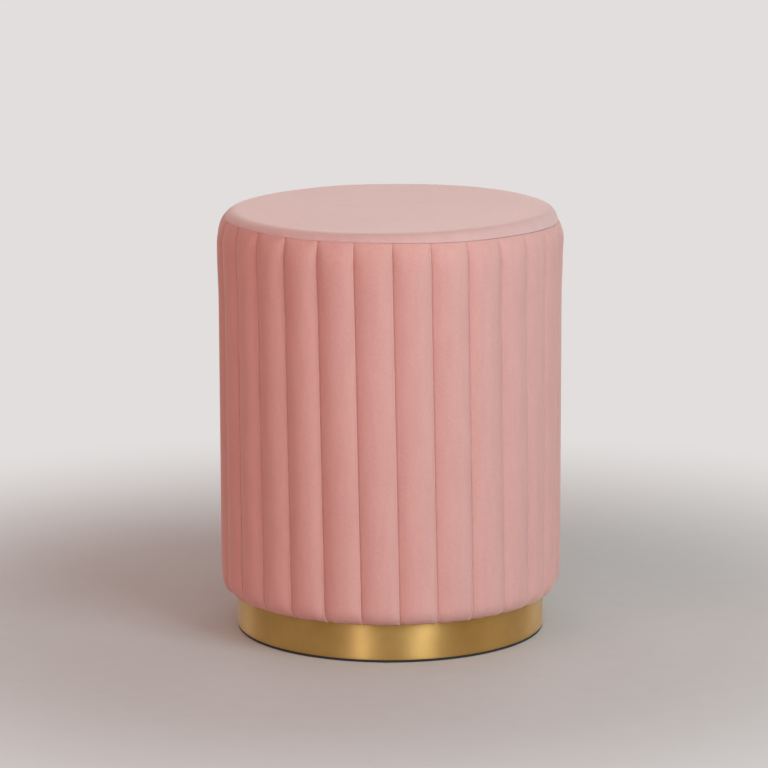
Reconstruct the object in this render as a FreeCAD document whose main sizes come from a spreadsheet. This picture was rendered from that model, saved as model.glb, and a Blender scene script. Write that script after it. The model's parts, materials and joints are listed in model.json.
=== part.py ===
import FreeCAD, Part
import math
import os
import re
import Sketcher

# Round upholstered stool: a padded drum in sewn vertical channels on a brass-coloured plinth.
# Millimetres and degrees, +Z up, origin on the floor at the middle of the foot, front towards -Y.

# Driving sizes, each written once. They fill the sheet, and everything else is worked out from them.
SIZES = {
    # whole stool
    "stool_height": 435.0,
    "drum_radius": 175.0,
    "plinth_top": 40.0,
    "plinth_inset": 17.0,
    # velvet cover
    "cover_thickness": 1.5,
    "channel_count": 28,
    "channel_depth": 2.7,
    "channel_end_share": 0.35,
    "first_seam_angle": 1.9,
    "drum_swell": 1.3,
    "swell_length": 60.0,
    "seam_inset": 7.9,
    "shoulder_drop": 24.5,
    "shoulder_angle": 66.0,
    "roll_height": 16.0,
    "underside_flat": 3.0,
    "hem_under_board": 6.0,
    "panel_crown": 1.0,
    "panel_edge_round": 7.5,
    "curve_steps": 5,
    # padding
    "padding_thickness": 17.0,
    "side_foam_thickness": 7.0,
    "seat_foam_thickness": 40.0,
    "seat_wadding_thickness": 10.0,
    "soft_gap": 0.3,
    # frame
    "board_thickness": 12.0,
    "wall_thickness": 3.0,
    "wall_joint_gap": 0.6,
    "post_count": 6,
    "post_size": 30.0,
    "hoop_width": 18.0,
    "hoop_thickness": 12.0,
    "fit_gap": 0.1,
    # plinth and foot
    "band_thickness": 0.8,
    "band_joint_gap": 0.4,
    "plinth_board_hole": 134.0,
    "plinth_hoop_width": 18.0,
    "foot_height": 2.5,
    "foot_inset": 0.4,
    # underside cloth and its staples
    "dust_cover_thickness": 0.5,
    "pull_strip_width": 20.0,
    "staple_length": 10.0,
    "staple_wire": 0.6,
    "staple_wire_width": 1.2,
    "staple_leg": 8.0,
    "dust_staple_count": 14,
    # screws and tacks
    "screw_radius": 2.0,
    "screw_head_radius": 4.0,
    "screw_head_height": 2.4,
    "screw_taper": 3.0,
    "post_screw_grip": 30.0,
    "hoop_screw_grip": 12.0,
    "plinth_screw_grip": 9.0,
    "plinth_hoop_screw_grip": 18.0,
    "plinth_hoop_screw_count": 12,
    "tack_radius": 0.8,
    "tack_head_radius": 2.5,
    "tack_head_height": 0.8,
    "tack_length": 11.0,
    "wall_tack_count": 12,
    "foot_tack_count": 12,
    "foot_tack_recess": 1.0,
    "foot_tack_length": 10.0,
    # how far every cutting solid runs past what it cuts
    "overrun": 5.0,
}

# Sizes and places that follow from the driving sizes, each a formula in their names.
PLACES = {
    # top panel and its seam
    "panel_edge_height": "stool_height - panel_crown",
    "seam_height": "panel_edge_height - panel_edge_round",
    "seam_radius": "drum_radius + drum_swell - seam_inset",
    "panel_flat_radius": "seam_radius - panel_edge_round",
    "crown_radius": "(panel_flat_radius ^ 2 + panel_crown ^ 2) / (2 * panel_crown)",
    "panel_under_top": "stool_height - cover_thickness",
    "panel_under_edge": "panel_edge_height - cover_thickness",
    "panel_inner_round": "panel_edge_round - cover_thickness",
    "panel_inner_corner": "panel_flat_radius + sqrt(panel_inner_round ^ 2 - cover_thickness ^ 2)",
    "allowance_top": "seam_height + cover_thickness",
    "allowance_radius": "wall_radius + soft_gap",
    # side cover
    "side_top": "seam_height - soft_gap",
    "shoulder_low": "side_top - shoulder_drop",
    "swell_low": "shoulder_low - swell_length",
    "shoulder_rise": "shoulder_drop / sin(shoulder_angle * 1 deg)",
    "shoulder_depth": "seam_inset / (1 - cos(shoulder_angle * 1 deg))",
    "roll_top": "plinth_top + roll_height",
    "roll_depth": "padding_thickness - underside_flat",
    "hem_radius": "board_radius - hem_under_board",
    # padding
    "wadding_top": "panel_under_top - soft_gap",
    "wadding_edge": "panel_under_edge - soft_gap",
    "wadding_round": "panel_inner_round - soft_gap",
    "wadding_ledge": "allowance_top + soft_gap",
    "wadding_corner": "panel_flat_radius + sqrt(wadding_round ^ 2 - (wadding_ledge - seam_height) ^ 2)",
    "wadding_low": "wadding_top - seat_wadding_thickness",
    "seat_foam_top": "wadding_low - soft_gap",
    "seat_foam_low": "seat_foam_top - seat_foam_thickness",
    "side_foam_radius": "allowance_radius + side_foam_thickness",
    "channel_inner_radius": "side_foam_radius + soft_gap",
    "foam_space_low": "roll_top - soft_gap",
    "foam_space_top": "shoulder_low + soft_gap",
    # frame
    "seat_board_top": "seat_foam_low - soft_gap",
    "seat_board_low": "seat_board_top - board_thickness",
    "base_board_low": "plinth_top + cover_thickness",
    "base_board_top": "base_board_low + board_thickness",
    "wall_radius": "drum_radius - padding_thickness",
    "wall_inner_radius": "wall_radius - wall_thickness",
    "board_radius": "wall_inner_radius - fit_gap",
    "hoop_inner_radius": "board_radius - hoop_width",
    "hoop_middle": "(base_board_top + seat_board_low) / 2",
    "hoop_low": "hoop_middle - hoop_thickness / 2",
    "hoop_top": "hoop_middle + hoop_thickness / 2",
    "post_outer": "sqrt((hoop_inner_radius - fit_gap) ^ 2 - (post_size / 2) ^ 2)",
    "post_inner": "post_outer - post_size",
    "post_circle": "post_outer - post_size / 2",
    # underside cloth
    "dust_cover_radius": "hem_radius - soft_gap",
    "pull_strip_low": "plinth_top + dust_cover_thickness",
    "pull_strip_inner": "dust_cover_radius - pull_strip_width",
    "strip_staple_circle": "pull_strip_inner + pull_strip_width / 4",
    "dust_staple_circle": "dust_cover_radius - pull_strip_width / 4",
    "staple_half": "staple_length / 2",
    "staple_leg_inner": "staple_half - staple_wire",
    # plinth and foot
    "plinth_radius": "drum_radius - plinth_inset",
    "band_inner_radius": "plinth_radius - band_thickness",
    "plinth_core_radius": "band_inner_radius - fit_gap",
    "plinth_board_low": "plinth_top - board_thickness",
    "plinth_hoop_inner": "plinth_core_radius - plinth_hoop_width",
    "plinth_hoop_circle": "plinth_core_radius - plinth_hoop_width / 2",
    "foot_radius": "plinth_radius - foot_inset",
    # lengths of the screws, from the face under or around the head to the point
    "post_screw_length": "board_thickness + post_screw_grip",
    "hoop_screw_length": "post_size + hoop_screw_grip",
    "plinth_screw_length": "board_thickness + base_board_low - plinth_top + plinth_screw_grip",
    "plinth_hoop_screw_length": "board_thickness + plinth_hoop_screw_grip",
    "post_screw_shank": "post_screw_length - screw_taper",
    "hoop_screw_shank": "hoop_screw_length - screw_taper",
    "plinth_screw_shank": "plinth_screw_length - screw_taper",
    "plinth_hoop_screw_shank": "plinth_hoop_screw_length - screw_taper",
    "seat_tack_height": "seat_board_top - board_thickness / 2",
    "base_tack_height": "base_board_low + board_thickness / 2",
}

doc = FreeCAD.newDocument("drum_stool")
sheet = doc.addObject("Spreadsheet::Sheet", "Sizes")
for row, (name, amount) in enumerate(SIZES.items(), start=1):
    sheet.set(f"A{row}", name)
    sheet.set(f"B{row}", str(amount))
    sheet.setAlias(f"B{row}", name)
doc.recompute()


def bound(formula, own=False):
    """The formula with each name pointing at the sheet or at the worked-out places."""
    def point(found):
        name = found.group()
        if name in SIZES:
            return "Sizes." + name
        if name in PLACES and not own:
            return "Places." + name
        return name
    return re.sub(r"[a-z]\w+", point, formula)


places = doc.addObject("App::VarSet", "Places")
for name in PLACES:
    places.addProperty("App::PropertyFloat", name)
for name, formula in PLACES.items():
    places.setExpression(name, bound(formula, own=True))
doc.recompute()


def value(name):
    """A driving size or a worked-out place as a number."""
    return float(sheet.get(name) if name in SIZES else getattr(places, name))


def bind(thing, **formulas):
    """Ties an object's properties to formulas. Two underscores stand for a dot."""
    for field, formula in formulas.items():
        thing.setExpression(field.replace("__", "."), bound(formula))


PARTS = {}


def keep(label, thing):
    """Makes an object the sub-part of that name."""
    thing.Label = label
    PARTS[label] = thing
    return thing


# Solids made of primitives


def primitive(kind, label, **formulas):
    """A Part primitive whose sizes and place follow the sheet."""
    thing = doc.addObject(kind, label)
    bind(thing, **formulas)
    return thing


def disc(label, radius, low, top):
    """A solid disc between two heights."""
    return primitive("Part::Cylinder", label, Radius=radius, Height=f"({top}) - ({low})",
                     Placement__Base__z=low)


def cut(label, base, *tools):
    """The base with one tool, or several that lie clear of each other, cut out of it."""
    tool = tools[0]
    if len(tools) > 1:
        tool = doc.addObject("Part::Compound", label + "_tools")
        tool.Links = list(tools)
    result = doc.addObject("Part::Cut", label + "_cut")
    result.Base = base
    result.Tool = tool
    return result


def ring(label, outer, inner, low, top):
    """A flat ring or a tube wall: a disc bored by a longer one."""
    blank = disc(label + "_blank", outer, low, top)
    bore = disc(label + "_bore", inner, f"{low} - overrun", f"{top} + overrun")
    return cut(label, blank, bore)


def back_slit(label, gap, low, top):
    """The narrow space between two butting ends of a bent sheet, at the back of the stool."""
    return primitive("Part::Box", label, Width="drum_radius", Length=gap,
                     Height=f"{top} - {low} + 2 * overrun",
                     Placement__Base__x=f"-{gap} / 2", Placement__Base__z=f"{low} - overrun")


# Sketched solids


def origin_part(body, role):
    """One of the body's own origin planes or axes."""
    return next(part for part in body.Origin.OriginFeatures if part.Role == role)


def flip(name):
    """The same coordinate on the other side of the sketch's origin."""
    if name == 0:
        return 0
    return name[1:] if name[0] == "-" else "-" + name


def number(name):
    """A sketch coordinate as a number: 0, or a name with or without a minus."""
    if name == 0:
        return 0.0
    return -value(name[1:]) if name[0] == "-" else value(name)


def arc(start, end, radius):
    """The counter-clockwise arc of under a half circle from start to end."""
    chord = end - start
    reach = math.sqrt(radius ** 2 - (chord.Length / 2) ** 2)
    centre = (start + end) / 2 + FreeCAD.Vector(-chord.y, chord.x, 0).normalize() * reach
    spread = [math.atan2(point.y - centre.y, point.x - centre.x) for point in (start, end)]
    return Part.ArcOfCircle(Part.Circle(centre, FreeCAD.Vector(0, 0, 1), radius), *spread)


def pin_corner(sketch, edge, vertex, corner):
    """Holds a corner of the sketch at its two named coordinates."""
    for kind, name, axis in (("DistanceX", corner[0], -2), ("DistanceY", corner[1], -1)):
        if name == 0:
            sketch.addConstraint(Sketcher.Constraint("PointOnObject", edge, vertex, axis))
            continue
        ends = (-1, 1, edge, vertex) if name[0] != "-" else (edge, vertex, -1, 1)
        index = sketch.addConstraint(Sketcher.Constraint(kind, *ends, abs(number(name))))
        sketch.setExpression(f"Constraints[{index}]", bound(name.lstrip("-")))


def outline(body, label, corners, role="XZ_Plane", shift=(0, 0, 0)):
    """A closed sketch through named corners.

    A corner's third entry is the radius of the arc that leaves it, with a minus where it turns clockwise.
    """
    sketch = body.newObject("Sketcher::SketchObject", label)
    sketch.AttachmentSupport = (origin_part(body, role), [""])
    sketch.MapMode = "FlatFace"
    for field, name in zip("xyz", shift):
        if name != 0:
            sketch.setExpression(f"AttachmentOffset.Base.{field}", bound(name))
    spots = [FreeCAD.Vector(number(corner[0]), number(corner[1]), 0) for corner in corners]
    ends = []
    for edge, corner in enumerate(corners):
        start, end = spots[edge], spots[(edge + 1) % len(spots)]
        clockwise = len(corner) == 3 and corner[2][0] == "-"
        if len(corner) == 2:
            sketch.addGeometry(Part.LineSegment(start, end))
        elif clockwise:
            sketch.addGeometry(arc(end, start, abs(number(corner[2]))))
        else:
            sketch.addGeometry(arc(start, end, number(corner[2])))
        ends.append((2, 1) if clockwise else (1, 2))
    for edge, corner in enumerate(corners):
        after = (edge + 1) % len(corners)
        sketch.addConstraint(Sketcher.Constraint("Coincident", edge, ends[edge][1], after, ends[after][0]))
        pin_corner(sketch, edge, ends[edge][0], corner)
        if len(corner) == 3:
            index = sketch.addConstraint(Sketcher.Constraint("Radius", edge, abs(number(corner[2]))))
            sketch.setExpression(f"Constraints[{index}]", bound(corner[2].lstrip("-")))
    return sketch


def turned(label, corners, axis="V_Axis", shift=(0, 0, 0)):
    """A body turned about one of its sketch's axes."""
    body = doc.addObject("PartDesign::Body", label)
    sketch = outline(body, label + "_outline", corners, shift=shift)
    solid = body.newObject("PartDesign::Revolution", label + "_turned")
    solid.Profile = sketch
    solid.ReferenceAxis = (sketch, [axis])
    solid.Angle = 360
    sketch.Visibility = False
    return body


def repeat_round(body, number_name, half_pitch=False):
    """Repeats a body's last feature round the stool, half a pitch on where asked."""
    pattern = body.newObject("PartDesign::PolarPattern", body.Name + "_round")
    pattern.Originals = [body.Tip]
    pattern.Axis = (origin_part(body, "Z_Axis"), [""])
    pattern.Angle = 360
    bind(pattern, Occurrences=number_name)
    body.Tip = pattern
    if half_pitch:
        body.Placement.Rotation = FreeCAD.Rotation(FreeCAD.Vector(0, 0, 1), 180 / value(number_name))
        bind(body, Placement__Rotation__Angle=f"180 / {number_name}")
    return body


# Each fastener's half outline, as pairs: distance from its axis, distance along it from its start.


def flush_screw(name):
    """A countersunk wood screw."""
    return [(0, 0), ("screw_head_radius", 0), ("screw_radius", "screw_head_height"),
            ("screw_radius", name + "_shank"), (0, name + "_length")]


def pan_screw(name):
    """A wood screw whose head stands on the face it starts from."""
    return [(0, "-screw_head_height"), ("screw_head_radius", "-screw_head_height"), ("screw_head_radius", 0),
            ("screw_radius", 0), ("screw_radius", name + "_shank"), (0, name + "_length")]


def tack(length):
    """A flat-headed tack, its head flush with the face it starts from."""
    return [(0, 0), ("tack_head_radius", 0), ("tack_head_radius", "tack_head_height"),
            ("tack_radius", "tack_head_height"), ("tack_radius", length), (0, length)]


def fasteners(label, half, way, radius, height, number_name, half_pitch=False):
    """One node of like fasteners round the stool, each pointing up, down, out or in from its start."""
    lay = {
        "up": lambda across, along: (across, along),
        "down": lambda across, along: (across, flip(along)),
        "out": lambda across, along: (along, across),
        "in": lambda across, along: (flip(along), across),
    }[way]
    axis = "V_Axis" if way in ("up", "down") else "H_Axis"
    body = turned(label, [lay(*corner) for corner in half], axis, (radius, height, 0))
    return keep(label, repeat_round(body, number_name, half_pitch))


def staples(label, circle, height, number_name, half_pitch=False):
    """One node of staples round the stool, each with its crown across the radius and its legs up."""
    corners = [("-staple_half", 0), ("staple_half", 0), ("staple_half", "staple_leg"),
               ("staple_leg_inner", "staple_leg"), ("staple_leg_inner", "staple_wire"),
               ("-staple_leg_inner", "staple_wire"), ("-staple_leg_inner", "staple_leg"),
               ("-staple_half", "staple_leg")]
    body = doc.addObject("PartDesign::Body", label)
    sketch = outline(body, label + "_outline", corners, "YZ_Plane", (0, height, circle))
    pad = body.newObject("PartDesign::Pad", label + "_wire")
    pad.Profile = sketch
    pad.SideType = "Symmetric"
    bind(pad, Length="staple_wire_width")
    return keep(label, repeat_round(body, number_name, half_pitch))


# Fasteners come first, because the pieces they hold are cut to them.

seat_post_screws = fasteners("seat_post_screws", flush_screw("post_screw"), "down",
                             "post_circle", "seat_board_top", "post_count")
base_post_screws = fasteners("base_post_screws", flush_screw("post_screw"), "up",
                             "post_circle", "base_board_low", "post_count")
hoop_screws = fasteners("hoop_screws", pan_screw("hoop_screw"), "out",
                        "post_inner", "hoop_middle", "post_count")
plinth_screws = fasteners("plinth_screws", pan_screw("plinth_screw"), "up",
                          "post_circle", "plinth_board_low", "post_count", half_pitch=True)
plinth_hoop_screws = fasteners("plinth_hoop_screws", flush_screw("plinth_hoop_screw"), "down",
                               "plinth_hoop_circle", "plinth_top", "plinth_hoop_screw_count")
seat_wall_tacks = fasteners("seat_wall_tacks", tack("tack_length"), "in",
                            "wall_radius", "seat_tack_height", "wall_tack_count", half_pitch=True)
hoop_wall_tacks = fasteners("hoop_wall_tacks", tack("tack_length"), "in",
                            "wall_radius", "hoop_middle", "wall_tack_count", half_pitch=True)
base_wall_tacks = fasteners("base_wall_tacks", tack("tack_length"), "in",
                            "wall_radius", "base_tack_height", "wall_tack_count", half_pitch=True)
foot_ring_tacks = fasteners("foot_ring_tacks", tack("foot_tack_length"), "up",
                            "plinth_hoop_circle", "foot_tack_recess", "foot_tack_count", half_pitch=True)
pull_strip_staples = staples("pull_strip_staples", "strip_staple_circle", "pull_strip_low", "channel_count")
dust_cover_staples = staples("dust_cover_staples", "dust_staple_circle", "plinth_top", "dust_staple_count")

# Frame of the drum

seat_board = disc("seat_board_blank", "board_radius", "seat_board_low", "seat_board_top")
keep("seat_board", cut("seat_board", seat_board, seat_post_screws, seat_wall_tacks))
base_board = disc("base_board_blank", "board_radius", "base_board_low", "base_board_top")
keep("base_board", cut("base_board", base_board, base_post_screws, base_wall_tacks, plinth_screws,
                       pull_strip_staples, dust_cover_staples))
middle_hoop = ring("middle_hoop", "board_radius", "hoop_inner_radius", "hoop_low", "hoop_top")
keep("middle_hoop", cut("middle_hoop", middle_hoop, hoop_screws, hoop_wall_tacks))
drum_wall = ring("drum_wall", "wall_radius", "wall_inner_radius", "base_board_low", "seat_board_top")
wall_joint = back_slit("wall_joint", "wall_joint_gap", "base_board_low", "seat_board_top")
keep("drum_wall", cut("drum_wall", drum_wall, wall_joint, seat_wall_tacks, hoop_wall_tacks, base_wall_tacks))

for number_of_post in range(round(value("post_count"))):
    turn = f"({number_of_post} * 360 / post_count * 1 deg)"
    label = f"post_{number_of_post + 1}"
    post = primitive("Part::Box", label + "_blank", Length="post_size", Width="post_size",
                     Height="seat_board_low - base_board_top",
                     Placement__Base__x=f"post_inner * cos{turn} + post_size / 2 * sin{turn}",
                     Placement__Base__y=f"post_inner * sin{turn} - post_size / 2 * cos{turn}",
                     Placement__Base__z="base_board_top")
    post.Placement.Rotation = FreeCAD.Rotation(FreeCAD.Vector(0, 0, 1), 1)
    bind(post, Placement__Rotation__Angle=turn)
    keep(label, cut(label, post, seat_post_screws, base_post_screws, hoop_screws))

# Plinth, its band and its foot

# The plinth board is a disc with a square hole for the hand.
plinth_board = disc("plinth_board_blank", "plinth_core_radius", "plinth_board_low", "plinth_top")
board_hole = primitive("Part::Box", "board_hole", Length="plinth_board_hole", Width="plinth_board_hole",
                       Height="board_thickness + 2 * overrun", Placement__Base__x="-plinth_board_hole / 2",
                       Placement__Base__y="-plinth_board_hole / 2",
                       Placement__Base__z="plinth_board_low - overrun")
keep("plinth_board", cut("plinth_board", plinth_board, board_hole, plinth_screws, plinth_hoop_screws))
plinth_hoop = ring("plinth_hoop", "plinth_core_radius", "plinth_hoop_inner",
                   "foot_height", "plinth_board_low")
keep("plinth_hoop", cut("plinth_hoop", plinth_hoop, plinth_hoop_screws, foot_ring_tacks))
plinth_band = ring("plinth_band", "plinth_radius", "band_inner_radius", "foot_height", "plinth_top")
band_joint = back_slit("band_joint", "band_joint_gap", "foot_height", "plinth_top")
keep("plinth_band", cut("plinth_band", plinth_band, band_joint))

# The tack heads sit in short bores, so that only the foot ring meets the floor.
foot_ring = ring("foot_ring", "foot_radius", "plinth_hoop_inner", "0", "foot_height")
tack_bores = repeat_round(
    turned("foot_tack_bores", [(0, 0), ("tack_head_radius", 0), ("tack_head_radius", "foot_tack_recess"),
                               (0, "foot_tack_recess")], shift=("plinth_hoop_circle", 0, 0)),
    "foot_tack_count", half_pitch=True)
keep("foot_ring", cut("foot_ring", cut("foot_ring", foot_ring, tack_bores), foot_ring_tacks))

# Cloth under the drum

pull_strip = ring("pull_strip", "dust_cover_radius", "pull_strip_inner", "pull_strip_low", "base_board_low")
keep("pull_strip", cut("pull_strip", pull_strip, pull_strip_staples, dust_cover_staples))
dust_cover = disc("dust_cover_blank", "dust_cover_radius", "plinth_top", "pull_strip_low")
keep("dust_cover", cut("dust_cover", dust_cover, dust_cover_staples, plinth_screws))

# Seat padding and the top panel, which is turned about the stool's axis with its seam allowance

keep("seat_foam", disc("seat_foam", "wall_radius", "seat_foam_low", "seat_foam_top"))
keep("seat_wadding", turned("seat_wadding", [
    (0, "wadding_low"), ("wall_radius", "wadding_low"), ("wall_radius", "wadding_ledge"),
    ("wadding_corner", "wadding_ledge", "wadding_round"),
    ("panel_flat_radius", "wadding_edge", "crown_radius"), (0, "wadding_top")]))
keep("top_panel_cover", turned("top_panel_cover", [
    ("seam_radius", "seam_height", "panel_edge_round"),
    ("panel_flat_radius", "panel_edge_height", "crown_radius"),
    (0, "stool_height"), (0, "panel_under_top", "-crown_radius"),
    ("panel_flat_radius", "panel_under_edge", "-panel_inner_round"), ("panel_inner_corner", "allowance_top"),
    ("allowance_radius", "allowance_top"), ("allowance_radius", "seam_height")]))

# Side padding and the channelled side cover


def channel_ring(height, crest, depth):
    """The closed line of the channels at one height: an arc over each, meeting at the seams."""
    pitch = 2 * math.pi / value("channel_count")

    def spot(radius, angle):
        return FreeCAD.Vector(radius * math.sin(angle), -radius * math.cos(angle), height)

    edges = []
    for channel in range(round(value("channel_count"))):
        seam = math.radians(value("first_seam_angle")) + channel * pitch
        middle, after = seam + pitch / 2, seam + pitch
        arch = Part.Arc(spot(crest - depth, seam), spot(crest, middle), spot(crest - depth, after))
        edges.append(arch.toShape())
    return Part.Wire(edges)


def channelled_side(inset):
    """The solid inside the channelled side, set in from the velvet's face by an even amount."""
    depth, end_share = value("channel_depth"), value("channel_end_share")
    steps = round(value("curve_steps"))
    rings = []
    for step in range(steps + 1):
        angle = math.radians(90) * step / steps
        crest = value("drum_radius") - value("roll_depth") + (value("roll_depth") - inset) * math.sin(angle)
        height = value("roll_top") - (value("roll_height") - inset) * math.cos(angle)
        rings.append(channel_ring(height, crest, depth * (end_share + (1 - end_share) * math.sin(angle))))
    rings.append(channel_ring(value("swell_low"), value("drum_radius") - inset, depth))
    widest = value("drum_radius") + value("drum_swell")
    for step in range(steps + 1):
        angle = math.radians(value("shoulder_angle")) * step / steps
        fade = step / steps
        crest = widest - value("shoulder_depth") + (value("shoulder_depth") - inset) * math.cos(angle)
        height = value("shoulder_low") + (value("shoulder_rise") - inset) * math.sin(angle)
        rings.append(channel_ring(height, crest, depth * (1 - (1 - end_share) * fade ** 2)))
    return Part.makeLoft(rings, True, True)


def bore(radius, low, top):
    """A cylinder on the stool's axis between two heights, to cut with."""
    return Part.makeCylinder(value(radius), top - low, FreeCAD.Vector(0, 0, low))


def formed(label, shape):
    """A sub-part whose form only lofted arcs give."""
    thing = doc.addObject("Part::Feature", label)
    thing.Shape = shape
    return keep(label, thing)


below = value("plinth_top") - value("overrun")
above = value("side_top") + value("overrun")
hem_hole = bore("hem_radius", below, value("base_board_low") + value("overrun"))
allowance_hole = bore("allowance_radius", value("shoulder_low"), above)
cover_inside = channelled_side(value("cover_thickness"))
formed("side_cover", channelled_side(0).cut([cover_inside, hem_hole, allowance_hole]))

foam_space = bore("channel_inner_radius", value("foam_space_low"), value("foam_space_top"))
frame_space = bore("allowance_radius", below, above)
wadding_block = channelled_side(value("cover_thickness") + value("soft_gap"))
formed("channel_wadding", wadding_block.cut([foam_space, frame_space]))
keep("side_foam", ring("side_foam", "side_foam_radius", "allowance_radius", "roll_top", "shoulder_low"))

# Work the document out, look every object over, and write each sub-part.

doc.recompute()
for thing in doc.Objects:
    if "Invalid" in thing.State or "Error" in thing.State:
        raise RuntimeError(f"{thing.Label} failed: {thing.State}")
for label, thing in PARTS.items():
    if thing.Shape.isNull() or not thing.Shape.isValid() or not thing.Shape.Solids:
        raise RuntimeError(f"{label} has no sound solid")

os.makedirs("parts", exist_ok=True)
for label, thing in PARTS.items():
    thing.Shape.exportStep(f"parts/{label}.step")
    print(f"{label}: {len(thing.Shape.Solids)} solid(s), {thing.Shape.Volume / 1000:.2f} cm3")
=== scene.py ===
import json
import math

import bpy
import numpy as np
from mathutils import Matrix, Vector


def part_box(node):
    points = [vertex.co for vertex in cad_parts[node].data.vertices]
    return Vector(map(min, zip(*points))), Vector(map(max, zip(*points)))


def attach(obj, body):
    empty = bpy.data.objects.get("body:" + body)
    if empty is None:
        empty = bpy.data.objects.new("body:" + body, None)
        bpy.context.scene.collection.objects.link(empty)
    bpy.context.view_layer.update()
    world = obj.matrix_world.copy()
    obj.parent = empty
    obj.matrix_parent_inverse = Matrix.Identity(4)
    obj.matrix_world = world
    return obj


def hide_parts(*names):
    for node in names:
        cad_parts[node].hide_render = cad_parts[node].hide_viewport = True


# Round upholstered stool: the looks of the construction, its light and its camera.
# Metres and radians, +Z up, front towards -Y. An azimuth is 0 at the front and grows towards +X.

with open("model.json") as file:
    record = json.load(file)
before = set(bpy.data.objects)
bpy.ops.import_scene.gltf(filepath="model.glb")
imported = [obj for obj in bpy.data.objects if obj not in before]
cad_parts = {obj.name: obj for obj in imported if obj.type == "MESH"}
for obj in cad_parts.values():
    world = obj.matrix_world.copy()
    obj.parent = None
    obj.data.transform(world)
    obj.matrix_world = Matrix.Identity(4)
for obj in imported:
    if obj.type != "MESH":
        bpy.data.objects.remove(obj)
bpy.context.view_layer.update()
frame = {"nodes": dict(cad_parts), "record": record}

# Places that the construction gives
TOP_LOW, TOP_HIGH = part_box("top_panel_cover")
SIDE_LOW, SIDE_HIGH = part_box("side_cover")
FOAM_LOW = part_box("seat_foam")[0].z
BAND_LOW, BAND_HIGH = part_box("plinth_band")
CLOTH_LOW, CLOTH_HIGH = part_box("dust_cover")
STRIP_LOW, STRIP_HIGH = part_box("pull_strip")
WALL_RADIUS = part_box("drum_wall")[1].x
STOOL_TOP = TOP_HIGH.z
SEAM_RADIUS = TOP_HIGH.x
SEAM_HEIGHT = TOP_LOW.z
SIDE_TOP = SIDE_HIGH.z
HEM_HEIGHT = SIDE_LOW.z
SIDE_MIDDLE = (HEM_HEIGHT + SIDE_TOP) / 2

# Form that the construction has too
CHANNELS = 28
FIRST_SEAM = math.radians(1.9)
DRUM_RADIUS = 0.175
DRUM_SWELL = 0.0013
SWELL_LENGTH = 0.060
SHOULDER_DROP = 0.0245
ROLL_HEIGHT = 0.016
ROLL_DEPTH = 0.014
COVER_THICKNESS = 0.0015
SOFT_GAP = 0.0003
BAND_THICKNESS = 0.0008
BAND_JOINT = 0.0004
STRIP_WIDTH = 0.020

# Channels of the velvet side, deeper than the construction's, with the seams' creases and puckers
SHOULDER_ANGLE = math.radians(50)
CHANNEL_DEPTH = 0.0048
CHANNEL_TOP_SHARE = 0.12
CHANNEL_HEM_SHARE = 0.15
CHANNEL_FULLNESS = 0.10
CHANNEL_POWER = 3.5
CHANNEL_SWELL = 0.0006
SEAM_TWIST = math.radians(2.4)
CREASE_DEPTH = 0.0004
CREASE_WIDTH = 0.0007
CREASE_HEM_LOSS = 0.7
PUCKER_DEPTH = 0.00012
PUCKER_START = 0.0008
PUCKER_FADE = 0.004
STITCH_PUCKER_REACH = 0.0022

# Gathers and pleats at the side's hem, the pleats' places in degrees
HEM_GATHER = 0.0003
GATHER_HEIGHT = 0.014
HEM_PLEATS = (-34.5, 16.5, 82.0, 131.0, -97.0, -160.0)
PLEAT_PITCH = 0.026
PLEAT_DEPTH = 0.0008

# Seam round the top, which tilts, waves, and dips and stands out at the right
SEAM_FOLD = 0.0002
SEAM_TILT = 0.0015
SEAM_WAVE = 0.0005
SEAM_DIP = 0.0035
SEAM_PUSH = 0.0035
SEAM_DIP_WIDTH = 0.10
SEAM_SHIFT_REACH = 0.07
SEAM_PUSH_REACH = 0.035
SIDE_LEDGE = 0.003
TOP_LEDGE = 0.0032
LEDGE_SHIFT = 0.3

# Velvet top, whose edge is fuller and stands higher at the right
PANEL_CROWN = 0.0009
PANEL_FLAT_RADIUS = 0.153
PANEL_EDGE_POWER = 2.3
PANEL_EDGE_GAIN = 0.8
PANEL_CORNER_GAIN = 2.5
PANEL_LEAN = 0.0027
LEAN_START_POWER = 4
LEAN_END_POWER = 34
PANEL_PUSH_POWER = 6
PANEL_SHIFT_POWER = 14
PANEL_WAVE = 0.00007
PANEL_CALM_RADIUS = 0.05

# Padding that is simulated
CHANNEL_PRESSURE = 300
TOP_PRESSURE = 1
CHANNEL_SLACK = 0.002
COVER_STIFFNESS = 2.0
FILL_CAP = 0.0020
FILL_STEPS = 20
FILL_COLUMNS = 10
FILL_ROW_STEP = 2
TOP_FILL_STEP = 3

# Thread, band, and the cloth and strip under the drum, with the small gap that keeps faces apart
STITCH_PITCH = 0.0027
STITCH_LENGTH = 0.0013
STITCH_RADIUS = 0.00042
STITCH_COLUMNS = 2
STITCH_LIFT = 1.5
BAND_BEVEL = 0.00025
CLOTH_DROOP = 0.0012
CLOTH_DROOP_WAVE = 0.0003
CLOTH_FREE_SHARE = 0.12
CLOTH_HELD_SHARE = 0.42
STRIP_GATHERS = 84
FACE_GAP = 0.00005

# Uneven ripples: seed, waves round the stool, radians for each unit up or out, and how many are summed
SEAM_RIPPLE = (5, (2, 9), (0, 1), 8)
FULLNESS_RIPPLE = (11, (3, 30), (-20, 20), 10)
PUCKER_RIPPLE = (12, (60, 160), (500, 1100), 24)
GATHER_RIPPLE = (13, (50, 150), (-60, 60), 24)
PANEL_RIPPLE = (21, (1, 7), (15, 60), 12)
DROOP_RIPPLE = (31, (2, 9), (5, 20), 8)

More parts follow.
